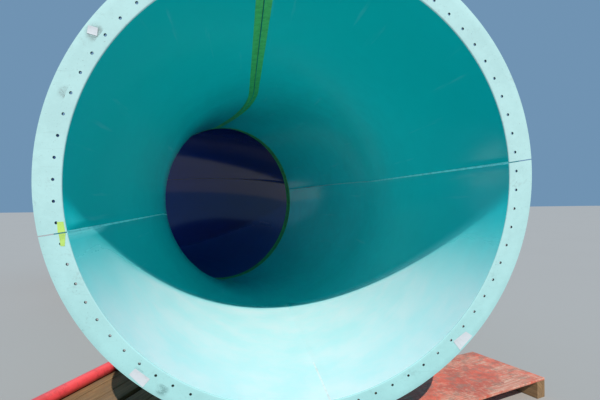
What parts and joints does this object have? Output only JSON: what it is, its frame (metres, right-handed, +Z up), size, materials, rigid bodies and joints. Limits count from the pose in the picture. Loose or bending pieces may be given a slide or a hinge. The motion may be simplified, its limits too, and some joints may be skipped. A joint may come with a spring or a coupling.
{
  "type": "enclosed water slide tube section",
  "caption": "Large enclosed water slide tube: a teal straight-to-bend section with an open bolting flange, joined to a dark blue bend, lying on timber dunnage.",
  "frame": {"origin": "on the ground, below the middle of the whole object's box", "axes": "+Z up; the near flange faces -Y, leaning 7 degrees; the tube runs level along +Y and then turns towards -X"},
  "size_m": [5.7102, 8.5208, 3.0148],
  "materials": {
    "teal_gelcoat": "gloss gelcoat inside, dusty pale flange, satin laminate outside",
    "blue_gelcoat": "gloss gelcoat",
    "seam_sealant": "matt, tooled flush",
    "gasket_rubber": "matt",
    "masking_tape": "matt creped paper tape",
    "sawn_timber": "rough sawn, weathered",
    "red_painted_ply": "worn red paint on plywood",
    "red_painted_rail": "glossy red paint, dusty"
  },
  "bodies": {
    "root": {"teal_shell_upper_right": "teal_gelcoat", "teal_shell_upper_left": "teal_gelcoat", "teal_shell_lower_left": "teal_gelcoat", "teal_shell_lower_right": "teal_gelcoat", "teal_seam_sealant_right": "seam_sealant", "teal_seam_sealant_top": "seam_sealant", "teal_seam_sealant_left": "seam_sealant", "teal_seam_sealant_bottom": "seam_sealant", "masking_tape_top_left": "masking_tape", "masking_tape_top_right": "masking_tape", "masking_tape_joint_near": "masking_tape", "joint_gasket": "gasket_rubber", "blue_shell_upper_right": "blue_gelcoat", "blue_shell_upper_left": "blue_gelcoat", "blue_shell_lower_left": "blue_gelcoat", "blue_shell_lower_right": "blue_gelcoat", "blue_seam_sealant_right": "seam_sealant", "blue_seam_sealant_top": "seam_sealant", "blue_seam_sealant_left": "seam_sealant", "blue_seam_sealant_bottom": "seam_sealant", "masking_tape_joint_far": "masking_tape", "right_pallet_red_panel": "red_painted_ply", "right_pallet_bearer_outer": "sawn_timber", "right_pallet_bearer_middle": "sawn_timber", "right_pallet_bearer_inner": "sawn_timber", "left_pallet_bearer_front": "sawn_timber", "left_pallet_bearer_back": "sawn_timber", "left_pallet_plank_outer": "sawn_timber", "left_pallet_plank_middle": "sawn_timber", "left_pallet_plank_inner": "sawn_timber", "left_pallet_red_rail": "red_painted_rail", "near_saddle_left": "sawn_timber", "near_saddle_right": "sawn_timber", "joint_saddle_left": "sawn_timber", "joint_saddle_right": "sawn_timber", "joint_bearer_front": "sawn_timber", "joint_bearer_back": "sawn_timber", "far_saddle_left": "sawn_timber", "far_saddle_right": "sawn_timber", "far_bearer_front": "sawn_timber", "far_bearer_back": "sawn_timber"}
  },
  "joints": []
}
